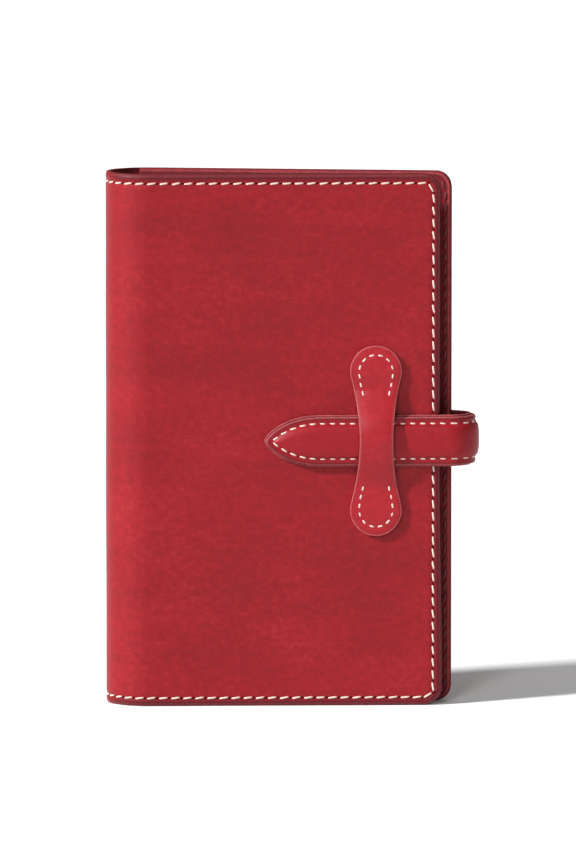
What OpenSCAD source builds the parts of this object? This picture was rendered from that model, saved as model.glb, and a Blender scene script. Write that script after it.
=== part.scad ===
// Pocket notebook in a wrap-around leather case with a strap closure.
// Millimetres. +X points at the fore-edge, +Y at the back cover and +Z up.
// The origin is the middle of the footprint, on the surface the case stands on.

/* [Case] */
// Height of the case
case_h = 166; // [156:1:176]
// Depth of the front cover, from the nose of the spine to its fore-edge
front_w = 104; // [102:0.5:106]
// How much further the back cover reaches than the front cover
back_extra = 3.5; // [0:0.5:3.5]
// Half the thickness that the two covers would have at the nose
spine_half = 14.4; // [13.8:0.1:15]
// Half the thickness of the closed case at the fore-edge of the front cover
fore_half = 6.5; // [6.3:0.1:6.8]
// How far the round of the spine reaches from its nose
nose_w = 14; // [12:0.5:15]
// Thickness of the outer leather
skin_t = 1.5; // [1.3:0.1:1.6]
// Thickness of the leather of the inside pockets
pocket_t = 1.1; // [0.9:0.1:1.2]
// Radius of the corners at the fore-edge
corner_r = 5; // [3:0.5:8]

/* [Strap and keeper] */
// Width of the strap
strap_w = 16; // [14:0.5:17]
// Thickness of the padded strap
strap_t = 3; // [2.6:0.1:3]
// Distance of the strap's tip from the nose of the spine
tip_x = 49.8; // [46:0.1:56]
// Height of the middle of the strap and of the keeper
strap_z = 83; // [80:0.5:86]
// Distance of the keeper from the nose of the spine
keeper_x = 84.3; // [78:0.1:88]
// Distance between the middles of the keeper's two round ends
keeper_span = 43.2; // [42:0.2:48]
// Width of the keeper's round ends
keeper_w = 16; // [15:0.5:18]
// Width of the keeper's waist
keeper_waist = 10.3; // [9:0.1:12]
// Thickness of the keeper's leather
keeper_t = 1.6; // [1.2:0.1:1.8]

/* [Stitching] */
// Distance from one stitch to the next
pitch = 3.8; // [3.5:0.1:4.5]
// Width of the waxed thread
thread_w = 0.8; // [0.6:0.1:1]

/* [Book] */
// Height of the pages
page_h = 150; // [140:1:152]
// Width of the pages
page_w = 88; // [84:1:88]
// Half the thickness of the pages at their sewn edge
page_root_half = 4.5; // [3.6:0.1:4.6]
// Half the thickness of the pages at their fore-edge
page_fore_half = 2.9; // [2.4:0.1:2.9]

/* [Hidden] */
SECTIONS_A_SIDE = 3;
BENDS = 3;

RED = [0.62, 0.16, 0.19];
DARK_RED = [0.45, 0.10, 0.13];
CREAM = [0.93, 0.88, 0.80];
PAPER = [0.95, 0.92, 0.85];
CARD = [0.20, 0.19, 0.19];

// How much the half thickness falls for each millimetre towards the fore-edge
wedge = (spine_half - fore_half) / front_w;
wedge_deg = atan(wedge);
back_w = front_w + back_extra;

// The leather splits between spine and cover at this turn of the nose curve
split_deg = 45;
split_gap_deg = 0.4;
nose_step = 5;

// Depths under the outer face: board in its pocket, then the pocket's wall
board_t = 0.8;
pocket_in = skin_t + board_t;
pocket_out = pocket_in + pocket_t;
pocket_x = 20;
board_x = 15.4;
pocket_rim = 4;

// Strap: it lies a little off the cover, and turns round the fore-edge
lift = 0.35;
turn_x = front_w + 2.1;
turn_in = (spine_half - wedge * turn_x) * cos(wedge_deg) + lift;
turn_out = turn_in + strap_t;
turn_s = turn_x * cos(wedge_deg) + spine_half * sin(wedge_deg);
turn_deg = 180 - 2 * wedge_deg;
bend_deg = turn_deg / BENDS;
bend_gap_deg = 0.5;
lining_t = 1;
padding_w = 9;
padding_t = 0.9;
tongue_long = 17;
anchor_s = 66;

// Seams of the strap and the keeper, and the room the strap has in the keeper
strap_seam = strap_w / 2 - 2.6;
strap_pitch = 3.1;
strap_stitch = 2.3;
seam_end = 1.8;
tip_seam_x = 5.4;
tip_seam_z = 1.2;
keeper_stitch = 2.2;
keeper_slip = 0.1;

// The object's box in X runs from the nose to the outside of the strap's turn
mid_x = (turn_x + turn_out) / 2;

// Seam lines, from the edges of the cover
seam_top = 3;
seam_bottom = 2.6;
seam_fore = 1.9;
stitch_len = 3;
stitch_t = 0.5;
stitch_slant = 8;

// The book inside
page_x = 10;
page_z = (case_h - page_h) / 2;
page_split = 0.1;
page_corner = 4;
strip_t = 0.8;
cloth_t = 0.3;
sewing_t = 0.2;
leaf_t = 0.3;

$fn = 96;

function half_at(x) = spine_half - wedge * x;

// A point of the nose curve: u is 0 at the nose and 90 where the flat starts
function nose_pt(u) =
    let (x = nose_w * (1 - cos(u)))
    [x, half_at(x) * sin(u)];

function unit(v) = v / norm(v);

function nose_dir(u) =
    let (x = nose_w * (1 - cos(u)))
    unit([nose_w * sin(u), half_at(x) * cos(u) - wedge * nose_w * sin(u) * sin(u)]);

function inwards(dir) = [dir[1], -dir[0]];

function nose_layer(u, depth) = nose_pt(u) + depth * inwards(nose_dir(u));

function flat_layer(x, depth) = [x, half_at(x)] + depth * inwards(nose_dir(90));

function reversed(list) = [for (i = [len(list) - 1 : -1 : 0]) list[i]];

// The part's own coordinates are counted from the nose of the spine
module from_nose() {
    translate([-mid_x, 0, 0]) children();
}

module front_side() {
    mirror([0, 1, 0]) children();
}

// Local frame of a cover: x along it, y out of it, z up, from under the nose
module on_cover() {
    translate([0, spine_half, 0]) rotate([0, 0, -wedge_deg]) children();
}

// Stands an outline drawn in x and z on the cover, from height a to height b
module raised(a, b) {
    translate([0, b, 0]) rotate([90, 0, 0]) linear_extrude(b - a) children();
}

// Takes the two corners off a cover that ends at x
module rounded_corners(x, low, high, r) {
    reach = 60;
    difference() {
        children();
        for (end = [0, 1])
            translate([x - r, 0, end == 0 ? low + r : high - r])
                mirror([0, 0, 1 - end])
                    difference() {
                        translate([0, -reach / 2, 0]) cube([r + 2, reach, r + 2]);
                        rotate([90, 0, 0]) cylinder(h = reach + 2, r = r, center = true);
                    }
    }
}

module cover_skin(w) {
    steps = [for (i = [split_deg + nose_step : nose_step : 90]) i];
    turns = concat([split_deg + split_gap_deg], steps);
    outer = [for (u = turns) nose_layer(u, 0)];
    inner = [for (u = turns) nose_layer(u, skin_t)];
    rounded_corners(w, 0, case_h, corner_r)
        linear_extrude(case_h)
            polygon(concat(outer, [flat_layer(w, 0), flat_layer(w, skin_t)], reversed(inner)));
}

module flat_sheet(x0, x1, depth0, depth1, low, high) {
    translate([0, 0, low])
        linear_extrude(high - low)
            polygon([flat_layer(x0, depth0), flat_layer(x1, depth0),
                flat_layer(x1, depth1), flat_layer(x0, depth1)]);
}

// The pocket's wall, with the rim that is sewn to the outer leather
module pocket(w) {
    rounded_corners(w, 0, case_h, corner_r)
        difference() {
            flat_sheet(pocket_x, w, skin_t, pocket_out, 0, case_h);
            flat_sheet(pocket_x - 1, w - pocket_rim, skin_t - 1, pocket_in,
                pocket_rim, case_h - pocket_rim);
        }
}

module board(w) {
    inset = pocket_rim + 0.5;
    color(CARD)
        flat_sheet(board_x, w - inset - 0.5, skin_t, pocket_in, inset, case_h - inset);
}

module stitch() {
    rotate([0, stitch_slant, 0]) cube([stitch_len, stitch_t, thread_w], center = true);
}

// Three sides of a cover, then the round of its shoulder. The fore-edge seam
// leaves out what lies under a strap that is sewn on, of half height covered.
module cover_seam(w, covered = 0) {
    run = w - seam_fore - nose_w;
    count = floor(run / pitch);
    up_count = floor((case_h - seam_top - seam_bottom - pitch) / pitch);
    up_start = (case_h - up_count * pitch) / 2;
    color(CREAM) {
        for (z = [seam_bottom, case_h - seam_top], i = [0 : count - 1])
            translate(concat(flat_layer(w - seam_fore - (i + 0.7) * pitch, 0), [z]))
                rotate([0, 0, -wedge_deg]) stitch();
        for (i = [0 : up_count])
            if (abs(up_start + i * pitch - strap_z) >= covered)
                translate(concat(flat_layer(w - seam_fore, 0), [up_start + i * pitch]))
                    rotate([0, 0, -wedge_deg]) rotate([0, 90, 0]) stitch();
        for (z = [seam_bottom, case_h - seam_top], u = [54, 70, 85])
            nose_stitch(u, z);
    }
}

module nose_stitch(u, z) {
    dir = nose_dir(u);
    translate(concat(nose_pt(u), [z])) rotate([0, 0, atan2(dir[1], dir[0])]) stitch();
}

// Points of an arc, from angle a0 to a1; trim leaves that many out at each end
function arc(c, r, a0, a1, n, trim = 0) =
    [for (i = [trim : n - trim]) let (a = a0 + (a1 - a0) * i / n) c + r * [cos(a), sin(a)]];

// Two round ends joined by a waist, in x and z
module keeper_outline() {
    end_r = keeper_w / 2;
    end_z = keeper_span / 2;
    rise = keeper_waist / 2;
    waist_r = (end_z * end_z + rise * rise - end_r * end_r) / (2 * (end_r - rise));
    touch = atan2(end_z, rise + waist_r);
    polygon(concat(
        arc([0, end_z], end_r, -touch, 180 + touch, 32),
        arc([-rise - waist_r, 0], waist_r, touch, -touch, 10, 1),
        arc([0, -end_z], end_r, 180 - touch, 360 + touch, 32),
        arc([rise + waist_r, 0], waist_r, 180 + touch, 180 - touch, 10, 1)));
}

// Side view of the keeper: flat at its ends, and arched over the strap
module keeper_arch() {
    over = lift + strap_t + stitch_t / 2 + keeper_slip;
    foot = strap_w / 2 + 6;
    top = strap_w / 2 + 0.6;
    reach = keeper_span / 2 + keeper_w;
    line = [[-reach, 0], [-foot, 0], [-top, over], [top, over], [foot, 0], [reach, 0]];
    polygon(concat(line, reversed([for (p = line) p + [0, keeper_t]])));
}

module keeper() {
    depth = keeper_w + 2;
    color(RED) from_nose() front_side() on_cover()
        translate([keeper_x, 0, strap_z])
            intersection() {
                raised(-1, 12) keeper_outline();
                translate([-depth / 2, 0, 0])
                    rotate([90, 0, 90]) linear_extrude(depth)
                        rotate(90) mirror([0, 1]) keeper_arch();
            }
}

// A horseshoe of stitches round one end of the keeper
module keeper_seam(side) {
    r = keeper_w / 2 - 2.6;
    color(CREAM) from_nose() front_side() on_cover()
        translate([keeper_x, keeper_t, strap_z + side * keeper_span / 2])
            for (turn = [-210 : 30 : 30])
                rotate([0, -90 * (side - 1) + turn, 0])
                    translate([r, 0, 0])
                        cube([thread_w, stitch_t, keeper_stitch], center = true);
}

// Half the width of the tongue at a distance t from where its straight length
// ends: the mean of an arch of two arcs and of an oval
function tongue_half(t) =
    let (half = strap_w / 2, r = (tongue_long * tongue_long + half * half) / (2 * half))
    (sqrt(r * r - t * t) - (r - half) + half * sqrt(1 - t * t / (tongue_long * tongue_long))) / 2;

// The tongue's rounded point and its straight length, in x and z
module tongue_outline() {
    points = 16;
    upper = [for (i = [0 : points]) let (t = tongue_long * sin(i * 90 / points))
        [tip_x + tongue_long - t, i == points ? 0 : tongue_half(t)]];
    lower = [for (i = [points - 1 : -1 : 0]) [upper[i][0], -upper[i][1]]];
    polygon(concat([[turn_s, -strap_w / 2], [turn_s, strap_w / 2]], upper, lower));
}

module tongue_place() {
    from_nose() front_side() on_cover() translate([0, 0, strap_z]) children();
}

module padding_outline() {
    start = tip_x + 12;
    translate([start, 0]) circle(d = padding_w);
    translate([start, -padding_w / 2]) square([turn_s - start, padding_w]);
}

module strap_tongue_lining() {
    color(DARK_RED) tongue_place() raised(lift, lift + lining_t) tongue_outline();
}

module strap_tongue_padding() {
    low = lift + lining_t;
    color(CARD) tongue_place() raised(low, low + padding_t) padding_outline();
}

module strap_tongue_face() {
    low = lift + lining_t;
    color(RED) tongue_place()
        difference() {
            raised(low, lift + strap_t) tongue_outline();
            raised(low - 1, low + padding_t) padding_outline();
            translate([turn_s - 1, low - 1, -padding_w / 2]) cube([2, padding_t + 1, padding_w]);
        }
}

// Both long seams of a straight stretch of strap
module strap_seam_rows(s0, s1) {
    count = floor((s1 - s0) / strap_pitch);
    for (side = [-1, 1], i = [0 : count])
        translate([s1 - seam_end - i * strap_pitch, lift + strap_t, side * strap_seam])
            cube([strap_stitch, stitch_t, thread_w], center = true);
}

module strap_tongue_stitching() {
    long = tongue_long - 4;
    slope = atan(strap_seam / long);
    color(CREAM) tongue_place() {
        strap_seam_rows(tip_x + tongue_long + seam_end, turn_s);
        for (side = [-1, 1], i = [0 : 2])
            translate([tip_x + tip_seam_x + i * long / 3, lift + strap_t,
                    side * (tip_seam_z + i * strap_seam / 3)])
                rotate([0, -side * slope, 0])
                    cube([strap_stitch, stitch_t, thread_w], center = true);
    }
}

module anchor_outline() {
    translate([anchor_s, 0]) circle(d = strap_w);
    translate([anchor_s, -strap_w / 2]) square([turn_s - anchor_s, strap_w]);
}

module anchor_place() {
    from_nose() on_cover() translate([0, 0, strap_z]) children();
}

module strap_anchor() {
    color(RED) anchor_place() raised(0, lift + strap_t) anchor_outline();
}

module strap_anchor_stitching() {
    color(CREAM) anchor_place() {
        strap_seam_rows(anchor_s + 1, turn_s);
        for (turn = [-68 : 34 : 68])
            translate([anchor_s, lift + strap_t, 0])
                rotate([0, turn, 0]) translate([-strap_seam, 0, 0])
                    cube([thread_w, stitch_t, strap_stitch], center = true);
    }
}

// One of the equal lengths of the strap's turn; the first starts at the back
module strap_bend(i) {
    start = 90 - wedge_deg - i * bend_deg;
    color(RED) from_nose() translate([turn_x, 0, strap_z - strap_w / 2])
        rotate([0, 0, start + bend_gap_deg / 2])
            rotate_extrude(angle = bend_deg - bend_gap_deg)
                translate([turn_in, 0]) square([strap_t, strap_w]);
}

module strap_bend_stitching(i) {
    start = 90 - wedge_deg - i * bend_deg;
    step = bend_deg / 3;
    color(CREAM) from_nose() translate([turn_x, 0, strap_z])
        for (side = [-1, 1], k = [0 : 2])
            rotate([0, 0, start + (k + 0.5) * step])
                translate([turn_out, 0, side * strap_seam])
                    cube([stitch_t, strap_stitch, thread_w], center = true);
}

module front_cover_leather() {
    color(RED) from_nose() front_side() cover_skin(front_w);
}

module back_cover_leather() {
    color(RED) from_nose() cover_skin(back_w);
}

module spine_leather() {
    last = split_deg - split_gap_deg;
    inside = split_deg - nose_step;
    turns = concat([-last], [for (i = [-inside : nose_step : inside]) i], [last]);
    outer = [for (u = turns) nose_layer(u, 0)];
    inner = [for (u = turns) nose_layer(u, skin_t)];
    color(RED) from_nose() linear_extrude(case_h) polygon(concat(outer, reversed(inner)));
}

module front_pocket() {
    color(DARK_RED) from_nose() front_side() pocket(front_w);
}

module back_pocket() {
    color(DARK_RED) from_nose() pocket(back_w);
}

module front_cover_stitching() {
    from_nose() front_side() cover_seam(front_w);
}

module back_cover_stitching() {
    from_nose() cover_seam(back_w, strap_w / 2 + stitch_len / 2 + 0.2);
}

module spine_stitching() {
    color(CREAM) from_nose()
        for (z = [seam_bottom, case_h - seam_top], u = [-36 : 18 : 36])
            nose_stitch(u, z);
}

module book_front_board() {
    from_nose() front_side() board(front_w);
}

module book_back_board() {
    from_nose() board(front_w);
}

module book_spine_strip() {
    half = page_root_half + 0.8;
    x = page_x - sewing_t - cloth_t - strip_t;
    color(CARD) from_nose() translate([x, -half, page_z - 2])
        cube([strip_t, 2 * half, page_h + 4]);
}

// The card's fold between the spine strip and a board
module book_hinge() {
    side = [page_x - sewing_t - cloth_t - strip_t, page_root_half + 0.9];
    edge = flat_layer(board_x - 0.2, skin_t);
    across = [0, 0.5];
    color(CARD) translate([0, 0, page_z - 2])
        linear_extrude(page_h + 4)
            polygon([side, edge - [0, 0.6], edge - [0, 0.1], side + across]);
}

module book_front_hinge() {
    from_nose() front_side() book_hinge();
}

module book_back_hinge() {
    from_nose() book_hinge();
}

module spine_cloth() {
    x = page_x - sewing_t - cloth_t;
    color(PAPER) from_nose() translate([x, -page_root_half, page_z + 6])
        cube([cloth_t, 2 * page_root_half, page_h - 12]);
}

// Sewing stations across the folds of the sections
module sewing_thread() {
    stations = 6;
    first = 12;
    inset = 0.4;
    step = (page_h - 2 * first) / (stations - 1);
    color(CREAM) from_nose()
        for (i = [0 : stations - 1])
            translate([page_x - sewing_t, -page_root_half + inset,
                    page_z + first + i * step - thread_w / 2])
                cube([sewing_t, 2 * (page_root_half - inset), thread_w]);
}

// A layer of the book block, between two shares of its half thickness
module leaves(share0, share1, out0 = 0, out1 = 0) {
    function edge(root, share) = page_split + (root - page_split) * share;
    rounded_corners(page_x + page_w, page_z, page_z + page_h, page_corner)
        translate([0, 0, page_z])
            linear_extrude(page_h)
                polygon([
                    [page_x, edge(page_root_half, share0) + out0],
                    [page_x + page_w, edge(page_fore_half, share0) + out0],
                    [page_x + page_w, edge(page_fore_half, share1) + out1],
                    [page_x, edge(page_root_half, share1) + out1]]);
}

// Sections 1 to 3 turn with the front cover, 4 to 6 with the back cover
module page_section(i) {
    front = i <= SECTIONS_A_SIDE;
    rank = front ? SECTIONS_A_SIDE - i : i - SECTIONS_A_SIDE - 1;
    color(PAPER) from_nose() mirror([0, front ? 1 : 0, 0])
        leaves(rank / SECTIONS_A_SIDE, (rank + 1) / SECTIONS_A_SIDE);
}

module flyleaf() {
    color(CARD) leaves(1, 1, 0, leaf_t);
}

module front_flyleaf() {
    from_nose() front_side() flyleaf();
}

module back_flyleaf() {
    from_nose() flyleaf();
}

front_cover_leather();
spine_leather();
back_cover_leather();
front_pocket();
back_pocket();
front_cover_stitching();
spine_stitching();
back_cover_stitching();
keeper();
keeper_seam(1);  // keeper_upper_stitching
keeper_seam(-1);  // keeper_lower_stitching
strap_anchor();
strap_anchor_stitching();
strap_bend(1);  // strap_bend_1
strap_bend(2);  // strap_bend_2
strap_bend(3);  // strap_bend_3
strap_bend_stitching(1);  // strap_bend_1_stitching
strap_bend_stitching(2);  // strap_bend_2_stitching
strap_bend_stitching(3);  // strap_bend_3_stitching
strap_tongue_face();
strap_tongue_padding();
strap_tongue_lining();
strap_tongue_stitching();
book_front_board();
book_back_board();
book_spine_strip();
book_front_hinge();
book_back_hinge();
spine_cloth();
sewing_thread();
front_flyleaf();
back_flyleaf();
page_section(1);  // page_section_1
page_section(2);  // page_section_2
page_section(3);  // page_section_3
page_section(4);  // page_section_4
page_section(5);  // page_section_5
page_section(6);  // page_section_6
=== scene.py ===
# %% [markdown]
# # A pocket notebook in a stitched leather case
# This lesson builds the looks of a small notebook: a leather cover that wraps
# round a sewn book, a padded strap, a keeper that holds the strap's tongue, and
# all the hand stitching. The frame that is loaded first says where every part
# is and how it moves; nothing here moves or resizes it.

# %% Load the frame
import math

import bpy
import numpy as np
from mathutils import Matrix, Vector, noise


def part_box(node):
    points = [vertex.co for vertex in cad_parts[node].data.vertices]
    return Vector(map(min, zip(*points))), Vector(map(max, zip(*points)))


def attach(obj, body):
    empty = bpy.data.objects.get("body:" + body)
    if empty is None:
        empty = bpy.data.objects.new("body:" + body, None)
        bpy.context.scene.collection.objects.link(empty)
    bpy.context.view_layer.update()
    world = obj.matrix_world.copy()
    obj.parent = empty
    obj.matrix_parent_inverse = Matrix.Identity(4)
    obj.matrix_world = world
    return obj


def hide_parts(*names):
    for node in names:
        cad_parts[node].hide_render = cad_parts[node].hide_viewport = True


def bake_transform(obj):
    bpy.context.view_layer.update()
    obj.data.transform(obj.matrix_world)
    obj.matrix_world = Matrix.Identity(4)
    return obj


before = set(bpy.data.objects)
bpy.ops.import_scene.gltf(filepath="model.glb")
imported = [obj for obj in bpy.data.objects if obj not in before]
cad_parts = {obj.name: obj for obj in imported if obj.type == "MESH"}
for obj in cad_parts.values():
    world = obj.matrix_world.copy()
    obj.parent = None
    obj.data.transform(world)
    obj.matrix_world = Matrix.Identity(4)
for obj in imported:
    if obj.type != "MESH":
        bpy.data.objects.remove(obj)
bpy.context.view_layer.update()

# %% [markdown]
# ## The maker's dimensions
# A leather worker thinks in millimetres and in flat patterns, so this lesson
# does too. Each pattern is cut flat, in the coordinates s (along the case from
# the nose of the spine), n (up out of the leather) and z (up the spine), and is
# then wrapped round the case. The values below are those of the frame.

# %% Dimensions in millimetres
MM = 0.001
NOSE_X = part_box("spine_leather")[0].x / MM
CASE_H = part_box("front_cover_leather")[1].z / MM
FRONT_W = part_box("front_cover_leather")[1].x / MM - NOSE_X
BACK_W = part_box("back_cover_leather")[1].x / MM - NOSE_X
SPINE_HALF = 14.4
FORE_HALF = 6.5
NOSE_W = 14.0
SKIN_T = 1.5
POCKET_T = 1.1
BOARD_T = 0.8
CORNER_R = 5.0
WEDGE = (SPINE_HALF - FORE_HALF) / 104  # how fast the case thins towards the fore-edge
WEDGE_RAD = math.atan(WEDGE)
STRAP_Z = 83.0
STRAP_HALF = 8.0
STRAP_T = 3.0
TONGUE_TIP_X = 49.8
STRAP_LIFT = 0.35
PITCH = 3.8
SEAM_TOP = 3.0
SEAM_BOTTOM = 2.6
SEAM_FORE = 1.9
print("case height", round(CASE_H, 2), "front", round(FRONT_W, 2), "back", round(BACK_W, 2))

# %% [markdown]
# ## The way round the case
# The outline of the case, seen from above, is a round nose that runs into two
# straight covers. A table of points along it, with their distances, turns any s
# into a place and a direction, so a flat pattern can be laid round it.

# %% Profiles to wrap patterns on
class Profile:
    """A way seen from above, as points in millimetres with their distances along it."""

    def __init__(self, points):
        self.points = np.array(points, float)
        steps = np.linalg.norm(np.diff(self.points, axis=0), axis=1)
        self.s = np.concatenate([[0], np.cumsum(steps)])
        tangent = np.gradient(self.points, self.s, axis=0)
        self.tangent = tangent / np.linalg.norm(tangent, axis=1)[:, None]

    def at(self, s):
        place = np.stack([np.interp(s, self.s, self.points[:, k]) for k in (0, 1)], -1)
        way = np.stack([np.interp(s, self.s, self.tangent[:, k]) for k in (0, 1)], -1)
        return place, way / np.linalg.norm(way, axis=-1, keepdims=True)

    def s_of_x(self, x):
        return float(np.interp(x, self.points[:, 0], self.s))


def cover_points(side, reach):
    turns = np.radians(np.arange(0, 90.01, 1.0))
    x = NOSE_W * (1 - np.cos(turns))
    nose = np.stack([x, side * (SPINE_HALF - WEDGE * x) * np.sin(turns)], -1)
    flat_x = np.arange(NOSE_W + 0.5, reach, 0.5)
    flat = np.stack([flat_x, side * (SPINE_HALF - WEDGE * flat_x)], -1)
    return np.concatenate([nose, flat])


FRONT = Profile(cover_points(-1, 112))
BACK = Profile(cover_points(1, 112))

TURN_X = 106.1
TURN_IN = (SPINE_HALF - WEDGE * TURN_X) * math.cos(WEDGE_RAD) + STRAP_LIFT
TURN_RAD = math.pi - 2 * WEDGE_RAD
TURN_LEN = TURN_IN * TURN_RAD
STRAIGHT = 70.0  # length of the straight run before the turn, and of the one after it


def strap_points():
    start = math.pi / 2 - WEDGE_RAD
    angles = start - np.linspace(0, TURN_RAD, 181)
    turn = np.stack([TURN_X + TURN_IN * np.cos(angles), TURN_IN * np.sin(angles)], -1)
    lead = np.arange(STRAIGHT, 0, -0.5)[:, None]
    back = turn[0] - lead * np.array([math.cos(WEDGE_RAD), -math.sin(WEDGE_RAD)])
    tail = np.arange(0.5, STRAIGHT + 0.1, 0.5)[:, None]
    front = turn[-1] + tail * np.array([-math.cos(WEDGE_RAD), -math.sin(WEDGE_RAD)])
    return np.concatenate([back, turn, front])


STRAP = Profile(strap_points())
STRAP_START = STRAIGHT
STRAP_TIP = STRAIGHT + TURN_LEN + (TURN_X - TONGUE_TIP_X) / math.cos(WEDGE_RAD) + 0.5
print("front pattern", round(FRONT.s_of_x(FRONT_W), 1), "strap turn", round(TURN_LEN, 1))

# %% [markdown]
# ## Working at the bench
# A few helpers stand for habits: clear the selection before using a tool, finish
# a modifier, move points by a rule, wrap a pattern, and leave every piece with
# its place in its mesh. Shading is smooth except where two faces meet sharply.

# %% Bench helpers
def clear_selection():
    if bpy.context.mode != "OBJECT":
        bpy.ops.object.mode_set(mode="OBJECT")
    bpy.ops.object.select_all(action="DESELECT")


def take(obj):
    clear_selection()
    obj.select_set(True)
    bpy.context.view_layer.objects.active = obj
    return obj


def points_of(obj):
    co = np.empty(len(obj.data.vertices) * 3)
    obj.data.vertices.foreach_get("co", co)
    return co.reshape(-1, 3)


def set_points(obj, co):
    obj.data.vertices.foreach_set("co", np.asarray(co, float).ravel())
    obj.data.update()


def apply_modifier(obj, kind, **settings):
    take(obj)
    modifier = obj.modifiers.new(kind.title(), kind)
    for key, value in settings.items():
        setattr(modifier, key, value)
    bpy.ops.object.modifier_apply(modifier=modifier.name)


def grid(name, s_lines, shares):
    """A flat sheet with one column for each s and one row for each share of its height."""
    clear_selection()
    bpy.ops.mesh.primitive_grid_add(
        x_subdivisions=len(s_lines) - 1, y_subdivisions=len(shares) - 1, size=2)
    obj = bpy.context.object
    obj.name = name
    co = points_of(obj)
    column = np.rint((co[:, 0] + 1) / 2 * (len(s_lines) - 1)).astype(int)
    row = np.rint((co[:, 1] + 1) / 2 * (len(shares) - 1)).astype(int)
    return obj, np.asarray(s_lines)[column], np.asarray(shares)[row]


def thicken(obj, thickness):
    """Gives a sheet a body below itself, as an extrusion in edit mode."""
    take(obj)
    bpy.ops.object.mode_set(mode="EDIT")
    bpy.ops.mesh.select_all(action="SELECT")
    bpy.ops.mesh.extrude_region_move(TRANSFORM_OT_translate={"value": (0, -thickness, 0)})
    bpy.ops.object.mode_set(mode="OBJECT")


def face_outwards(obj):
    take(obj)
    bpy.ops.object.mode_set(mode="EDIT")
    bpy.ops.mesh.select_all(action="SELECT")
    bpy.ops.mesh.remove_doubles(threshold=1e-6)
    bpy.ops.mesh.normals_make_consistent(inside=False)
    bpy.ops.object.mode_set(mode="OBJECT")


def keep(obj, name, values):
    """Keeps a number or a vector at each point, for the finishes to read."""
    values = np.asarray(values, np.float32)
    kind, field = ("FLOAT", "value") if values.ndim == 1 else ("FLOAT_VECTOR", "vector")
    obj.data.attributes.new(name, kind, "POINT").data.foreach_set(field, values.ravel())


def wrap(obj, profile, hide_at=(0, 0)):
    """Lays a flat pattern (s, n, z in millimetres) round a profile, in metres."""
    flat = points_of(obj)
    keep(obj, "hide", flat[:, [0, 2, 1]] + [hide_at[0], hide_at[1], 0])
    place, way = profile.at(flat[:, 0])
    out = profile_out(profile, way)
    xy = place + flat[:, 1:2] * out
    set_points(obj, np.stack([xy[:, 0] + NOSE_X, xy[:, 1], flat[:, 2]], -1) * MM)


def profile_out(profile, way):
    """The direction out of the leather: right of the front's way, left of the others'."""
    turn = -1 if profile is FRONT else 1
    return np.stack([-way[:, 1], way[:, 0]], -1) * turn


def finish_mesh(obj, angle=40):
    face_outwards(obj)
    take(obj)
    bpy.ops.object.shade_smooth_by_angle(angle=math.radians(angle))
    return obj


def unit(values):
    return np.clip(values, 0, 1)


def ridge(d, at, width):
    """1 on a line at a distance from the edge, and nearly 0 a little away from it."""
    return np.exp(-((d - at) / width) ** 2)


def corner_cut(x, x_end, r):
    """How much a sheet's round outer corner takes off its height at x."""
    short = np.clip(x - (x_end - r), 0, r)
    return r - np.sqrt(np.clip(r * r - short * short, 0, None))


def lines(*stretches):
    """Places of grid lines: each stretch is (start, end, step), joined end to end."""
    found = []
    for start, end, step in stretches:
        count = max(1, round(abs(end - start) / step))
        found += list(np.linspace(start, end, count, endpoint=False))
    return found + [stretches[-1][1]]


# %% [markdown]
# ## Finishes
# Shader maths is easier to read as Python, so one small class lets a node's
# output be added and multiplied. Every finish below is a few layers of noise at
# the scales the real material shows, in the flat pattern's own coordinates, so
# the grain follows the leather round the spine.

# %% A socket that can be added and multiplied
class Sock:
    def __init__(self, finish, out):
        self.finish, self.out = finish, out

    def math(self, operation, other=0.0, swap=False):
        pair = (other, self) if swap else (self, other)
        return self.finish.node("ShaderNodeMath", {"operation": operation},
                                {0: pair[0], 1: pair[1]})

    def __add__(self, other):
        return self.math("ADD", other)

    def __sub__(self, other):
        return self.math("SUBTRACT", other)

    def __rsub__(self, other):
        return self.math("SUBTRACT", other, swap=True)

    def __mul__(self, other):
        return self.math("MULTIPLY", other)

    def __truediv__(self, other):
        return self.math("DIVIDE", other)

    __radd__, __rmul__ = __add__, __mul__

    def between(self, low, high):
        """0 below low, 1 above high, smooth in between."""
        return self.finish.node(
            "ShaderNodeMapRange", {"interpolation_type": "SMOOTHSTEP"},
            {"Value": self, "From Min": low, "From Max": high})


class Finish:
    def __init__(self, name):
        self.material = bpy.data.materials.new(name)
        self.material.use_nodes = True
        self.tree = self.material.node_tree
        self.tree.nodes.clear()

    def node(self, kind, settings=None, sockets=None, out=0):
        made = self.tree.nodes.new(kind)
        for key, value in (settings or {}).items():
            setattr(made, key, value)
        for key, value in (sockets or {}).items():
            if isinstance(value, Sock):
                self.tree.links.new(value.out, made.inputs[key])
            else:
                made.inputs[key].default_value = value
        return Sock(self, made.outputs[out]) if made.outputs else None

    def attribute(self, name, out=1):
        return self.node("ShaderNodeAttribute", {"attribute_name": name}, out=out)

    def noise(self, vector, scale, detail, stretch=(1, 1, 1), roughness=0.55):
        placed = self.node("ShaderNodeMapping", sockets={"Vector": vector, "Scale": stretch})
        return self.node("ShaderNodeTexNoise", sockets={
            "Vector": placed, "Scale": scale, "Detail": detail, "Roughness": roughness})

    def mix(self, amount, first, second):
        """A colour between two; the numbers are the node's colour sockets."""
        return self.node("ShaderNodeMix", {"data_type": "RGBA"},
                         {0: amount, 6: first, 7: second}, out=2)

    def bump(self, height, distance, strength):
        return self.node("ShaderNodeBump", sockets={
            "Height": height, "Distance": distance, "Strength": strength})

    def surface(self, **sockets):
        named = {key.replace("_", " "): value for key, value in sockets.items()}
        shader = self.node("ShaderNodeBsdfPrincipled", sockets=named)
        self.node("ShaderNodeOutputMaterial", sockets={"Surface": shader})
        return self.material


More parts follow.
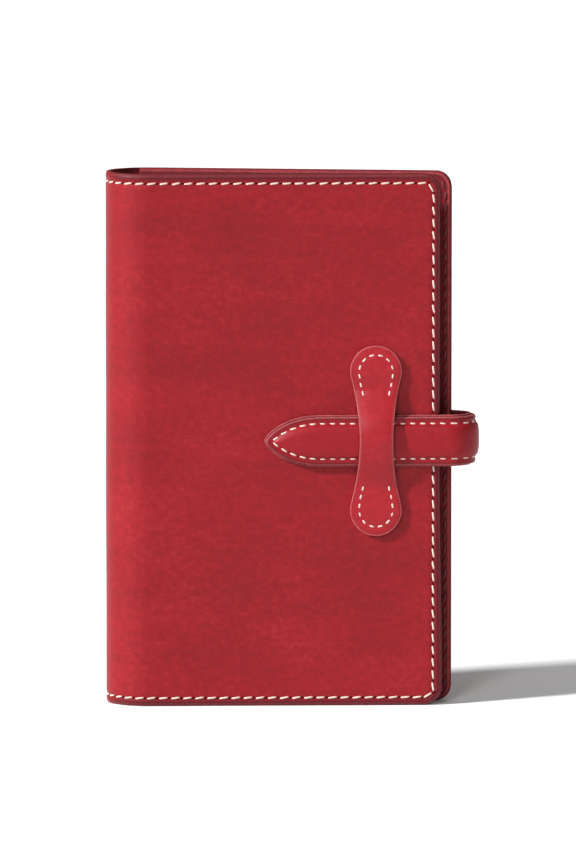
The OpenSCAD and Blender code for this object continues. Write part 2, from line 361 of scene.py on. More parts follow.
# %% [markdown]
# ### Leather
# Vegetable-tanned leather takes dye unevenly: clouds a few centimetres wide,
# smaller mottling inside them, and faint bands across the hide. Pores and fine
# wrinkles are far smaller. Edges that are rubbed with wax turn dark and smooth,
# so the darkening follows an attribute that holds the distance to the cut edge.

# %% Leather finish
def shade(colour, factor):
    return [c * factor for c in colour[:3]] + [1]


WAXED_EDGE = (0.070, 0.0040, 0.0075, 1)
# Lighter colour of the cut edges: partly the raw cut's own colour, partly a painted highlight where
# light catches the edges.
RAW_EDGE_AND_HIGHLIGHT = (0.46, 0.105, 0.110, 1)


def leather(name, base, contrast=1.0, grain=1.0, roughness=0.5, coat=0.12):
    """hide places the grain, edge darkens it to waxed leather; rim lightens the cut: raw cut colour
    and painted highlight.
    """
    f = Finish(name)
    hide = f.attribute("hide")
    edge = f.attribute("edge", out=2)
    raw_and_highlight = f.attribute("rim", out=2)
    clouds = f.noise(hide, 0.030, 4.0, (1, 1.5, 1))
    bands = f.noise(hide, 0.045, 3.0, (0.22, 1.9, 1))
    mottle = f.noise(hide, 0.42, 6.0, (1, 1.15, 1), 0.68)
    fleck = f.noise(hide, 2.6, 3.0)
    pores = f.node("ShaderNodeTexVoronoi", {"feature": "F1"},
                   {"Vector": hide, "Scale": 2.1, "Randomness": 1.0})
    wrinkle = f.node("ShaderNodeTexVoronoi", {"feature": "DISTANCE_TO_EDGE"},
                     {"Vector": hide, "Scale": 1.25, "Randomness": 1.0})
    scratch = f.noise(hide, 0.75, 2.0, (0.10, 1.9, 1)).between(0.66, 0.72)
    tone = clouds * 0.26 + bands * 0.20 + mottle * 0.34 + fleck * 0.20
    colour = f.mix(tone.between(0.36, 0.60), shade(base, 1 - 0.24 * contrast), base)
    pale = (mottle * 0.5 + fleck * 0.2 + clouds * 0.3).between(0.50, 0.70) * 0.6
    colour = f.mix(pale, colour, [base[0] * (1 + 0.20 * contrast), base[1] + 0.010 * contrast,
                                  base[2] + 0.010 * contrast, 1])
    colour = f.mix(scratch * fleck * 0.7, colour, [base[0] * 1.25, base[1] * 2.4, base[2] * 2.0, 1])
    pits = 1 - pores.between(0.0, 0.24)
    colour = f.mix(pits * 0.22, colour, shade(base, 0.5))
    worn = (edge * (mottle * 0.7 + 0.62)).math("MINIMUM", 0.94)
    colour = f.mix(worn, colour, WAXED_EDGE)
    # Cut edges lightened: the raw cut's colour mixed with a painted highlight.
    colour = f.mix(raw_and_highlight * (fleck * 0.9 + mottle * 0.5).between(0.30, 0.85), colour, RAW_EDGE_AND_HIGHLIGHT)
    height = (pores.between(0.0, 0.45) * 0.5 + wrinkle.between(0.0, 0.12) * 0.5
              + fleck * 0.4 + mottle * 0.7 + raw_and_highlight * fleck * 2.0)
    normal = f.bump(height, 0.00006 * grain, 0.8)
    rough = roughness + (mottle - 0.5) * 0.22 + (pits * 0.10) - edge * 0.05 + raw_and_highlight * 0.3
    return f.surface(Base_Color=colour, Roughness=rough, Coat_Weight=coat - edge * coat,
                     Coat_Roughness=0.34, Specular_IOR_Level=0.17, Normal=normal)


COVER_RED = leather("cover leather", (0.252, 0.0050, 0.0100, 1), contrast=1.3)
STRAP_RED = leather("strap leather", (0.262, 0.0055, 0.0110, 1), contrast=0.8, grain=0.8,
                    roughness=0.44)
# The keeper's leather is lighter than the cover's: a painted highlight standing in for the sheen on
# its raised crest.
KEEPER_RED = leather("keeper leather", (0.325, 0.0085, 0.0150, 1), contrast=0.9, grain=0.8,
                     roughness=0.40, coat=0.22)
LINING_RED = leather("lining leather", (0.175, 0.0085, 0.014, 1), contrast=1.2, grain=1.6,
                     roughness=0.66, coat=0.0)

# %% [markdown]
# ### Thread, card, cloth and paper
# Waxed thread is two plies twisted together, so its stripes run slantwise along
# each stitch. On the inside the thread has the lining's colour. The card of the
# book is black and slightly fibrous. Paper is a warm white with faint fibres; its
# ruling is drawn in the leaf's coordinates.

# %% Finishes of the small parts
RULE_STEP = 6.5


def thread_finish(name, shadow, light, fluff):
    f = Finish(name)
    along = f.attribute("ply")
    stripes = f.node("ShaderNodeTexWave", {"wave_type": "BANDS", "bands_direction": "DIAGONAL"},
                     {"Vector": along, "Scale": 0.9, "Distortion": 0.6, "Detail": 2.0})
    fuzz = f.noise(along, 4.0, 4.0)
    colour = f.mix(stripes * 0.35, shadow, light)
    colour = f.mix(fuzz.between(0.55, 0.8) * 0.35, colour, fluff)
    normal = f.bump(stripes * 0.7 + fuzz * 0.3, 0.00006, 0.8)
    return f.surface(Base_Color=colour, Roughness=0.5 + fuzz * 0.1, Normal=normal,
                     Sheen_Weight=0.15)


def card_finish():
    f = Finish("book card")
    spot = f.node("ShaderNodeTexCoord", out=3)
    fibres = f.noise(spot, 900.0, 5.0, (1, 1, 0.35))
    blotch = f.noise(spot, 60.0, 3.0)
    colour = f.mix(fibres * 0.6 + blotch * 0.3, (0.020, 0.018, 0.018, 1), (0.050, 0.045, 0.043, 1))
    return f.surface(Base_Color=colour, Roughness=0.62 + fibres * 0.2,
                     Normal=f.bump(fibres, 0.00005, 0.6))


def paper_finish(name, base, ruled):
    f = Finish(name)
    leaf = f.attribute("hide")
    fibres = f.noise(leaf, 3.0, 5.0)
    tint = f.noise(leaf, 0.05, 2.0)
    colour = f.mix(fibres * 0.35 + tint * 0.3, base, shade(base, 0.86))
    if ruled:
        height = f.node("ShaderNodeSeparateXYZ", sockets={"Vector": leaf}, out=1)
        wave = (height / RULE_STEP).math("FRACT")
        line = 1 - (wave - 0.5).math("ABSOLUTE").between(0.018, 0.030)
        flat = f.attribute("edge", out=2)
        colour = f.mix(line * (1 - flat) * 0.35, colour, (0.30, 0.34, 0.42, 1))
    return f.surface(Base_Color=colour, Roughness=0.82 + fibres * 0.1,
                     Normal=f.bump(fibres, 0.00003, 0.5))


def cloth_finish():
    f = Finish("spine cloth")
    spot = f.node("ShaderNodeTexCoord", out=3)
    warp = f.node("ShaderNodeTexWave", {"bands_direction": "Z"},
                  {"Vector": spot, "Scale": 420.0, "Distortion": 1.0})
    weft = f.node("ShaderNodeTexWave", {"bands_direction": "Y"},
                  {"Vector": spot, "Scale": 420.0, "Distortion": 1.0})
    weave = warp * weft
    colour = f.mix(weave, (0.60, 0.56, 0.48, 1), (0.84, 0.80, 0.72, 1))
    return f.surface(Base_Color=colour, Roughness=0.85 + weave * 0.1,
                     Normal=f.bump(weave, 0.00008, 0.8))


THREAD = thread_finish("waxed thread", (0.62, 0.46, 0.40, 1), (0.80, 0.68, 0.60, 1),
                       (0.46, 0.28, 0.25, 1))
INNER_THREAD = thread_finish("inner thread", (0.120, 0.008, 0.012, 1), (0.200, 0.016, 0.024, 1),
                             (0.080, 0.006, 0.009, 1))
CARD = card_finish()
PAGE = paper_finish("page paper", (0.84, 0.79, 0.68, 1), ruled=True)
FLYLEAF = paper_finish("flyleaf paper", (0.20, 0.17, 0.15, 1), ruled=False)
CLOTH = cloth_finish()
print("finishes:", len(bpy.data.materials))


def dress(obj, material):
    obj.data.materials.clear()
    obj.data.materials.append(material)
    return obj


# %% [markdown]
# ## Camera, floor and light
# The case stands on a white table. The camera is far off with a long lens, so
# upright edges stay upright, and a little to the right of straight on. The key
# light comes from the upper left, gives the leather its long gradient and throws
# the shadows of the keeper and the strap to the right. A weaker light from the
# front fills them a little and lets the floor's shadow fade backwards.

# %% Camera
CAM_AZIMUTH = 2.5
CAM_ELEVATION = 6.4
CAM_DISTANCE = 3.0
LENS_SCALE = 3215
CAM_TARGET = (-0.0012, 0.0, 0.0846)


def make_camera():
    data = bpy.data.cameras.new("camera")
    cam = bpy.data.objects.new("camera", data)
    bpy.context.collection.objects.link(cam)
    azimuth, elevation = math.radians(CAM_AZIMUTH), math.radians(CAM_ELEVATION)
    back = Vector((math.sin(azimuth) * math.cos(elevation),
                   -math.cos(azimuth) * math.cos(elevation), math.sin(elevation)))
    cam.location = Vector(CAM_TARGET) + back * CAM_DISTANCE
    cam.rotation_euler = (-back).to_track_quat("-Z", "Y").to_euler()
    data.sensor_width = 36
    data.lens = CAM_DISTANCE * LENS_SCALE * data.sensor_width / 864
    data.clip_end = 20
    bpy.context.scene.camera = cam


make_camera()
print("lens", round(bpy.context.scene.camera.data.lens, 1), "mm")


# %% [markdown]
# The floor is a very large white plane, so it is also the background. It is lit
# until it is pure white, and only the shadows show.

# %% Floor and lights
def make_floor():
    clear_selection()
    bpy.ops.mesh.primitive_plane_add(size=24, location=(0, 0, 0))
    floor = bpy.context.object
    floor.name = "floor"
    f = Finish("white table")
    floor.data.materials.append(f.surface(
        Base_Color=(0.88, 0.88, 0.88, 1), Roughness=0.9, Specular_IOR_Level=0.0))


def add_light(name, kind, towards, energy, location=(0, 0, 0), **settings):
    """A lamp that shines from the direction it is given; its settings are the lamp's own."""
    data = bpy.data.lights.new(name, kind)
    data.energy = energy
    for key, value in settings.items():
        setattr(data, key, value)
    light = bpy.data.objects.new(name, data)
    bpy.context.collection.objects.link(light)
    light.location = location
    light.rotation_euler = (-Vector(towards)).to_track_quat("-Z", "Y").to_euler()


def make_world(strength):
    world = bpy.data.worlds.new("studio")
    bpy.context.scene.world = world
    world.use_nodes = True
    background = world.node_tree.nodes["Background"]
    background.inputs["Color"].default_value = (1, 1, 1, 1)
    background.inputs["Strength"].default_value = strength


make_floor()
make_world(0.29)
add_light("key", "SUN", (-1.60, -1.0, 1.20), 5.3, angle=math.radians(7))
add_light("front", "SUN", (-0.45, -2.0, 1.00), 0.85, angle=math.radians(14))
add_light("side", "AREA", (-1.05, -0.25, 0.27), 0.4, (-1.1, -0.25, 0.35),
          shape="RECTANGLE", size=0.4, size_y=0.9)
bpy.context.scene.view_settings.view_transform = "Standard"

# %% [markdown]
# ## Seams
# A pricking iron marks slanted holes at an even pitch, and the thread goes down
# through one hole and up through the next. A seam is a list of places, each with
# a direction in the pattern's plane. The same places make the stitches and the
# holes between them.

# %% Places along a seam
def spaced(points, pitch):
    """Stitch centres (s, z, angle) at an even pitch along a line of points."""
    points = np.array(points, float)
    steps = np.linalg.norm(np.diff(points, axis=0), axis=1)
    run = np.concatenate([[0], np.cumsum(steps)])
    count = int(run[-1] / pitch)
    pitch = run[-1] / count
    at = (np.arange(count) + 0.5) * pitch
    ends = [np.interp(at + shift, run, points[:, k]) for shift in (-0.4 * pitch, 0.4 * pitch)
            for k in (0, 1)]
    s0, z0, s1, z1 = ends
    return np.stack([(s0 + s1) / 2, (z0 + z1) / 2, np.arctan2(z1 - z0, s1 - s0)], -1)


def arc(centre, radius, start, end, count):
    angles = np.radians(np.linspace(start, end, count))
    return [(centre[0] + radius * math.cos(a), centre[1] + radius * math.sin(a)) for a in angles]


def row(start, end, pitch):
    """Stitches along a straight line, with the first one at its start."""
    start, end = np.array(start, float), np.array(end, float)
    way = end - start
    count = max(1, round(np.linalg.norm(way) / pitch))
    angle = math.atan2(way[1], way[0])
    return [(*(start + way * k / count), angle) for k in range(count)]


def cover_seam_places(s_end):
    """The row at the bottom, the corner stitch, the fore-edge, a corner stitch, the top row."""
    fore, low, high = s_end - SEAM_FORE, SEAM_BOTTOM, CASE_H - SEAM_TOP
    bottom = [(s, z, 0.0) for s, z, _ in row((fore - 4.9, low), (0, low), PITCH)]
    top = [(s, z, math.pi) for s, z, _ in row((fore - 3.6, high), (0, high), PITCH)]
    side = row((fore, low + 3.2), (fore, high - 4.8 + PITCH), PITCH)
    corners = [(fore - 1.6, low + 0.6, math.radians(22)),
               (fore - 0.8, high - 1.5, math.radians(112))]
    return np.array(bottom + corners + side + top)


# %% [markdown]
# One stitch is modelled from a small sphere: pulled long, flattened, and
# turned down at both ends where it dives into its holes. All the stitches of a
# seam are copies of it, each leaning the way the iron's teeth lean. A hand-sewn
# seam is never quite even, so every stitch differs a little in angle, length and
# height.

# %% One stitch, and seams of it
def model_stitch(length, width):
    clear_selection()
    bpy.ops.mesh.primitive_uv_sphere_add(segments=10, ring_count=9, radius=1,
                                         rotation=(0, math.pi / 2, 0))
    obj = bpy.context.object
    bpy.ops.object.transform_apply(location=False, rotation=True, scale=True)
    co = points_of(obj)
    along = co[:, 0]
    body = np.sqrt(unit(1 - along ** 4)) / np.sqrt(np.clip(1 - along ** 2, 1e-6, 1))
    body[np.abs(along) > 0.999] = 0
    shaped = np.stack([along * length / 2, co[:, 1] * body * width / 2,
                       co[:, 2] * body * width / 2], -1)
    shaped[:, 1] += 0.16 - 0.62 * np.abs(along) ** 4.5
    faces = [tuple(p.vertices) for p in obj.data.polygons]
    bpy.data.objects.remove(obj)
    return shaped, faces


STITCH, STITCH_FACES = model_stitch(length=3.15, width=0.60)
HOLE = [(0.62, 0.0), (0.30, 0.26), (-0.30, 0.26), (-0.62, 0.0), (-0.30, -0.26), (0.30, -0.26)]
HOLE_SLANT = math.radians(28)
HOLE_DEPTH = 1.0


def seam(name, places, profile, height=0.0, lean=8, length=1.0, seed=0, inside=False):
    """A row of stitches as one piece, laid on a profile at a height over the pattern."""
    rng = np.random.default_rng(seed)
    verts, faces, ply = [], [], []
    for k, (s, z, angle) in enumerate(places):
        turn = angle + math.radians(lean + rng.normal(0, 1.6))
        scale = length * (1 + rng.normal(0, 0.025))
        x, n, w = STITCH[:, 0] * scale, STITCH[:, 1], STITCH[:, 2]
        lift = height(s, z) if callable(height) else height
        n = -n if inside else n
        stitch = np.stack([s + x * math.cos(turn) - w * math.sin(turn),
                        n + lift + rng.normal(0, 0.02),
                        z + x * math.sin(turn) + w * math.cos(turn)], -1)
        faces += [tuple(i + k * len(STITCH) for i in face) for face in STITCH_FACES]
        verts.append(stitch)
        ply.append(np.stack([STITCH[:, 0] + k * 7.3, STITCH[:, 1] * 2, STITCH[:, 2] * 2], -1))
    mesh = bpy.data.meshes.new(name)
    mesh.from_pydata(np.concatenate(verts).tolist(), [], faces)
    obj = bpy.data.objects.new(name, mesh)
    bpy.context.collection.objects.link(obj)
    keep(obj, "ply", np.concatenate(ply))
    wrap(obj, profile)
    if inside:
        return dress(finish_mesh(obj, 60), INNER_THREAD)
    return dress(finish_mesh(obj, 60), THREAD)


def prick_holes(obj, places):
    """Cuts the slanted, tapered holes between the stitches out of a flat pattern."""
    verts, faces = [], []
    for k, (s, z, way) in enumerate(places):
        s, z = s + PITCH / 2 * math.cos(way), z + PITCH / 2 * math.sin(way)
        angle = way + HOLE_SLANT
        for level, share in ((0.6, 1.25), (-HOLE_DEPTH, 0.55)):
            for a, b in HOLE:
                x, w = a * share, b * share
                verts.append((s + x * math.cos(angle) - w * math.sin(angle), level,
                              z + x * math.sin(angle) + w * math.cos(angle)))
        base = k * 12
        faces += [tuple(base + i for i in range(6)), tuple(base + 11 - i for i in range(6))]
        faces += [(base + i, base + 6 + i, base + 6 + (i + 1) % 6, base + (i + 1) % 6)
                  for i in range(6)]
    mesh = bpy.data.meshes.new("awls")
    mesh.from_pydata(verts, [], faces)
    awls = bpy.data.objects.new("awls", mesh)
    bpy.context.collection.objects.link(awls)
    face_outwards(awls)
    apply_modifier(obj, "BOOLEAN", operation="DIFFERENCE", object=awls, solver="EXACT")
    bpy.data.objects.remove(awls)


# %% [markdown]
# ## The cover
# The hide is cut flat with two rounded corners, thickened, and its edge rounded
# off. The stitch holes are pricked while it is flat. The seam pulls the leather
# down along its line, and a heated creaser has drawn a line between seam and
# edge, so points near the edge are lowered by a rule of their distance to it.
# Then the pattern is wrapped.

# %% Cover patterns
NEAR_EDGE = [0.0, 0.35, 0.8, 1.3, 1.75, 2.15, 2.55, 2.95, 3.4, 4.1, 5.2]


def edge_distance(s, z, s_end, low, high):
    """How far a point of a panel is from its cut edge; the nose side has no edge."""
    ds, dz = s_end - s, np.minimum(z - low, high - z)
    corner = (ds < CORNER_R) & (dz < CORNER_R)
    return np.where(corner, CORNER_R - np.hypot(CORNER_R - ds, CORNER_R - dz),
                    np.minimum(ds, dz))


def panel(name, s0, s_end, thickness, low, high, column_step, edge_t):
    """A flat panel with two rounded corners, its grid lines crowded near its edge."""
    r, span = CORNER_R, high - low
    shares = [d / span for d in NEAR_EDGE] + list(np.linspace(0.06, 0.94, 30)) \
        + [1 - d / span for d in NEAR_EDGE[::-1]]
    columns = lines((s0, s_end - r, column_step)) + [s_end - d for d in NEAR_EDGE[::-1] if d < r]
    obj, s, share = grid(name, columns, shares)
    cut = corner_cut(s, s_end, r)
    z = low + cut + share * (span - 2 * cut)
    set_points(obj, np.stack([s, np.zeros_like(s), z], -1))
    thicken(obj, thickness)
    face_outwards(obj)
    apply_modifier(obj, "BEVEL", width=edge_t, segments=3, limit_method="ANGLE",
                   angle_limit=math.radians(50))
    return obj


EDGE_TB = 1.9
EDGE_FORE = 1.40
WAVES = 0.16


def edge_share(s, z, s_end):
    """0 on a cover's cut edge, 1 where its rounding starts; the fore-edge is rounded less."""
    r = CORNER_R
    ds, dz = s_end - s, np.minimum(z, CASE_H - z)
    corner = (ds < r) & (dz < r)
    angle = np.arctan2(r - dz, r - ds) / (math.pi / 2)
    width = np.where(corner, EDGE_FORE + (EDGE_TB - EDGE_FORE) * unit(angle), 1)
    return np.where(corner, (r - np.hypot(r - ds, r - dz)) / width,
                    np.minimum(ds / EDGE_FORE, dz / EDGE_TB))


def spread(obj, s_end):
    """Lets the front's fore-edge reach a little further towards its bottom corner."""
    co = points_of(obj)
    share = unit(1 - co[:, 2] / 80)
    margin = unit((co[:, 0] - s_end + 1.9) / 1.9)
    co[:, 0] += share * share * (3 - 2 * share) * margin
    set_points(obj, co)


def press_edges(obj, s_end):
    """Rounds and creases the margin, sinks the seam line, and lets the panel wave a little."""
    co = points_of(obj)
    d = edge_distance(co[:, 0], co[:, 2], s_end, 0.0, CASE_H)
    u = np.clip(edge_share(co[:, 0], co[:, 2], s_end), 0, 9)
    seam_at = np.where(co[:, 0] > s_end - CORNER_R, 2.2, 2.75)
    groove = 0.22 * ridge(d, seam_at, 0.55)
    crease = 0.10 * ridge(u, 1.12, 0.14)
    rounding = 1 - np.sqrt(unit(1 - unit(1 - u) ** 2))
    doubled = unit((co[:, 0] - 7) / 4)  # where the pocket lies behind the hide
    rounding *= 0.45 + 0.55 * doubled
    upper = unit((co[:, 1] + 0.9) / 0.6)
    sway = np.array([noise.noise(Vector((p[0] / 38, p[2] / 45, 0.3))) for p in co])
    co[:, 1] += -(groove + crease + rounding) * upper + WAVES * sway * unit(d / 8) - 0.02
    burnt = unit((1.08 - u) / 0.35)
    crest = ridge(u, 0.30, 0.16)
    burnt = np.maximum(burnt, 0.75 * ridge(u, 1.10, 0.10))
    keep(obj, "edge", burnt * (0.35 + 0.65 * doubled))
    # Light line on the crest of the rounded edge: painted highlight over the raw cut's colour.
    keep(obj, "rim", 0.30 * crest * upper * doubled)
    set_points(obj, co)


BLEND_START = (1.2, 5.5)
BLEND_END = (10.5, 13.2)


def on_case(x, y, z=CASE_H / 2):
    """A point counted from the nose in millimetres, in the frame's metres."""
    return ((x + NOSE_X) * MM, y * MM, z * MM)


def bend_with(obj, side):
    on_case(BLEND_START[0], side * BLEND_START[1])
    on_case(BLEND_END[0], side * BLEND_END[1])
    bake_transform(obj)


def cover(name, profile, width, side, nodes, seam_name, seam_nodes, seed):
    s_end = profile.s_of_x(width)
    places = cover_seam_places(s_end)
    skin = panel(name, 0.0, s_end, SKIN_T, 0.0, CASE_H, column_step=1.0, edge_t=0.5)
    prick_holes(skin, places)
    press_edges(skin, s_end)
    if side < 0:
        spread(skin, s_end)
    wrap(skin, profile, (seed * 90, seed * 40))
    dress(finish_mesh(skin), COVER_RED)
    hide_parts(*nodes)
    bend_with(skin, side)
    thread = seam(seam_name, places, profile, height=-0.25, seed=seed)
    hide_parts(*seam_nodes)
    bend_with(thread, side)
    print(name, len(skin.data.polygons), "faces,", len(places), "stitches")


cover("front_hide", FRONT, FRONT_W, -1, ["front_cover_leather", "spine_leather"],
      "front_seam", ["front_cover_stitching", "spine_stitching"], 1)
cover("back_hide", BACK, BACK_W, 1, ["back_cover_leather"],
      "back_seam", ["back_cover_stitching"], 2)


# %% [markdown]
# ## The pockets
# Behind each cover a thinner leather is sewn on three sides, and the book's
# boards slide into it. Its edge shows as a second layer all along the case. It
# rises over the board behind it and is creased just inside its edge. The seam
# that holds it shows on its inside too.

# %% Pockets
def pocket(name, profile, width, body, node):
    s0, s_end = profile.s_of_x(9.5), profile.s_of_x(width) - 0.12
    low, high = 0.12, CASE_H - 0.12
    obj = panel(name, s0, s_end, POCKET_T, low, high, column_step=4.0, edge_t=0.3)
    co = points_of(obj)
    d = np.clip(edge_distance(co[:, 0], co[:, 2], s_end, low, high), 0, 100)
    inner = co[:, 1] < -POCKET_T / 2
    rise = unit((d - 2.6) / 3.0)
    rounding = 0.42 * unit(1 - d / 0.7) ** 2
    line = ridge(d, 1.45, 0.24)
    co[:, 1] += (rounding + 0.22 * line) * inner
    co[:, 1] -= SKIN_T + 0.04 + (BOARD_T + 0.05) * rise * rise * (3 - 2 * rise)
    dark = line + 0.5 * ridge(d, 3.2, 0.5)
    keep(obj, "edge", unit(np.where(inner, dark, 0.55)))
    # Light line inside the pocket's edge and on its cut side: painted highlight that makes up for
    # shade there, over the raw cut's colour.
    keep(obj, "rim", np.where(inner, 0.55 * ridge(d, 0.75, 0.35), 0.22))
    set_points(obj, co)
    if profile is FRONT:
        spread(obj, s_end)
    wrap(obj, profile, (300, 20))
    dress(finish_mesh(obj), LINING_RED)
    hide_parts(node)
    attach(obj, body)
    print(name, len(obj.data.polygons), "faces")


def inner_seam(name, profile, width, body, seed):
    """The seam's other side, in a thread of the lining's colour, so it hardly shows."""
    places = [p for p in cover_seam_places(profile.s_of_x(width)) if p[0] > 13]
    obj = seam(name, places, profile, height=0.05 - SKIN_T - POCKET_T, lean=-8, seed=seed,
               inside=True)
    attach(obj, body)
    print(name, len(places), "stitches")


inner_seam("front_inner_seam", FRONT, FRONT_W, "front_cover", 3)
inner_seam("back_inner_seam", BACK, BACK_W, "back_cover", 4)
pocket("front_pocket_leather", FRONT, FRONT_W, "front_cover", "front_pocket")
pocket("back_pocket_leather", BACK, BACK_W, "back_cover", "back_pocket")

# %% [markdown]
# ## The strap
# A padded strap is a face leather moulded over felt and sewn to a flat lining.
# Both layers share one outline. The face is low at its edge, dips at the seam
# and swells between the two seams. The strap is cut into lengths that each cross
# one joint, and their ends meet edge to edge.

# %% Strap shape
TONGUE_LONG = 17.0
SEAM_INSET = 2.55
EDGE_TOP = 2.25
DOME_TOP = 3.36


def arch_half(run, long, half):
    """Half the width of a pointed arch, this far along it."""
    r = (long ** 2 + half ** 2) / (2 * half)
    return np.sqrt(np.clip(r * r - run * run, 0, None)) - (r - half)


def strap_half(s):
    """Half the strap's width at s: an arched point at the tongue, a round end at the anchor."""
    t = np.clip(s - (STRAP_TIP - TONGUE_LONG), 0, TONGUE_LONG)
    arch = arch_half(t, TONGUE_LONG, STRAP_HALF)
    oval = STRAP_HALF * np.sqrt(unit(1 - (t / TONGUE_LONG) ** 2))
    a = np.clip(ANCHOR_S + STRAP_HALF - s, 0, STRAP_HALF)
    return np.minimum((arch + oval) / 2,
                      np.sqrt(np.clip(STRAP_HALF ** 2 - a * a, 0, None)))


ANCHOR_S = STRAIGHT - 47.0
OUTLINE_S = np.concatenate([np.linspace(ANCHOR_S, ANCHOR_S + 9, 60),
                            np.linspace(ANCHOR_S + 9.2, STRAP_TIP - 17.2, 90),
                            STRAP_TIP - 17 * np.linspace(1, 0, 120) ** 2])
OUTLINE = np.stack([OUTLINE_S, strap_half(OUTLINE_S)], -1)


def strap_edge_distance(s, w):
    """Distance of a point (s, across) of the strap from its outline."""
    gaps = np.hypot(s[:, None] - OUTLINE[None, :, 0], np.abs(w)[:, None] - OUTLINE[None, :, 1])
    straight = STRAP_HALF - np.abs(w)
    middle = (s > ANCHOR_S + 9) & (s < STRAP_TIP - TONGUE_LONG)
    return np.where(middle, straight, gaps.min(axis=1))


def strap_height(d):
    """Top of the face leather over the strap's underside, from the distance to the edge."""
    edge = EDGE_TOP - 0.18 * unit(1 - d / 0.5) ** 2
    swell = unit((d - SEAM_INSET) / 4.2)
    dome = (DOME_TOP - EDGE_TOP) * np.sqrt(unit(1 - (1 - swell) ** 2))
    dip = 0.30 * ridge(d, SEAM_INSET, 0.5)
    return edge + dome - dip


HALF_ACROSS = [0.0, 0.012, 0.035, 0.07, 0.11, 0.145, 0.165, 0.185, 0.21, 0.24, 0.28, 0.33,
               0.39, 0.45]
ACROSS = np.array(HALF_ACROSS + [0.5] + [1 - a for a in HALF_ACROSS[::-1]]) * 2 - 1


def inset_half(s, inset):
    """Half the width of a layer whose outline lies a little inside the strap's."""
    shift = np.where(np.asarray(s) > STRAP_START, 0.6, -0.6) * inset
    return np.clip(strap_half(np.clip(s + shift, ANCHOR_S, STRAP_TIP)) - inset, 0, None)


def layer_end(inset, tip):
    """Where the layer's outline comes to its end."""
    reach = np.linspace(0, 2.5, 2000)
    at = STRAP_TIP - reach if tip else ANCHOR_S + reach
    return at[np.argmax(inset_half(at, inset) > 1e-4)] if inset else at[0]


def strap_piece(name, s0, s1, step, bottom, top, material, slot, inset):
    """A length of one layer of strap; top is a height, or the rule for the face."""
    columns = lines((s0, s1, step))
    if s1 > STRAP_TIP - 0.5:
        end = layer_end(inset, tip=True)
        columns = lines((s0, end - 14, step)) + [end - 14 * (1 - t) ** 2
                                                for t in np.linspace(0.04, 1, 34)]
        columns[-1] = end - 0.0005
    if s0 < ANCHOR_S + 0.5:
        start = layer_end(inset, tip=False)
        columns = [start + 0.0005] + [start + 9 * t ** 2 for t in np.linspace(0.06, 1, 20)] \
            + lines((start + 9.5, s1, step))
    obj, s, share = grid(name, columns, ACROSS)
    w = share * inset_half(s, inset)
    set_points(obj, np.stack([s, np.zeros_like(s), w], -1))
    thicken(obj, 1.0)
    co = points_of(obj)
    d = strap_edge_distance(co[:, 0], co[:, 2])
    own = np.clip(d - inset, 0, None)
    upper = co[:, 1] > -0.5
    tops = strap_height(d) if top is None else np.full(len(d), top)
    soft = 0.34 * unit(1 - own / 0.75) ** 2
    co[:, 1] = np.where(upper, tops - soft, bottom + (0.0 if top is None else 0.6) * soft)
    fray = np.array([noise.noise(Vector((p[0] / 1.7, p[2] / 1.7, 5 * inset))) for p in co])
    co[:, 2] *= 1 + 0.010 * fray * unit(1 - own / 0.8)
    keep(obj, "edge", 0.75 * unit((1.25 - own) / 0.8))
    # Light band along the strap's cut edge: painted highlight over the raw cut's colour.
    keep(obj, "rim", unit(1 - own / 0.42) * (0.9 if top is None else 1.0))
    co[:, 2] += STRAP_Z
    set_points(obj, co)
    wrap(obj, STRAP, (500, 100))
    dress(finish_mesh(obj, 50), material)
    return obj


# %% [markdown]
# The strap has six lengths in each layer: one that is sewn to the back cover,
# four that each cross a joint of the turn, and the tongue. A length that crosses
# a joint is cut in the middle of the rigid stretches on both sides of it.

# %% Strap pieces, from the anchor round to the tongue
MIDS = [STRAP_START - 6] + [STRAP_START + TURN_LEN * (k + 0.5) / 3 for k in range(3)] \
    + [STRAP_START + TURN_LEN + 6]


def strap_point(s, n=1.6):
    place, way = STRAP.at(np.array([s]))
    xy = place + n * profile_out(STRAP, way)
    return on_case(xy[0, 0], xy[0, 1], STRAP_Z)


def ride_strap(obj, k):
    """Leaves a length that crosses the k-th joint of the turn with its place in its mesh."""
    margin = (MIDS[k + 1] - MIDS[k]) * 0.01
    strap_point(MIDS[k] + margin)
    strap_point(MIDS[k + 1] - margin)
    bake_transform(obj)


FACE_LOW = 1.0
for layer, bottom, top, inset, finish, slot_name in (
        ("face", FACE_LOW, None, 0.55, STRAP_RED, "strap_leather"),
        ("lining", 0.0, FACE_LOW, 0.0, LINING_RED, "lining_leather")):
    look = (top, finish, slot_name, inset)
    anchor = strap_piece(f"strap_{layer}_anchor", ANCHOR_S, MIDS[0], 1.5,
                         bottom - (layer == "lining") * 0.3, *look)
    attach(anchor, "back_cover")
    tongue = strap_piece(f"strap_{layer}_tongue", MIDS[4], STRAP_TIP, 1.5, bottom, *look)
    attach(tongue, "tongue")
    for k in range(4):
        turn = strap_piece(f"strap_{layer}_turn_{k + 1}", MIDS[k], MIDS[k + 1], 0.35, bottom, *look)
        ride_strap(turn, k)
        if layer == "face":
            if k < 3:
                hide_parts(f"strap_bend_{k + 1}")
    if layer == "face":
        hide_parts("strap_anchor")
        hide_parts("strap_tongue_face", "strap_tongue_padding")
    else:
        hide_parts("strap_tongue_lining")

# %% [markdown]
# ### The strap's stitching
# Two long seams meet at the tip of the tongue. The places are worked out once,
# along the outline's inset, and then shared among the lengths of strap so that
# each stitch moves with the leather under it.

# %% Strap seams
STRAP_PITCH = 3.1


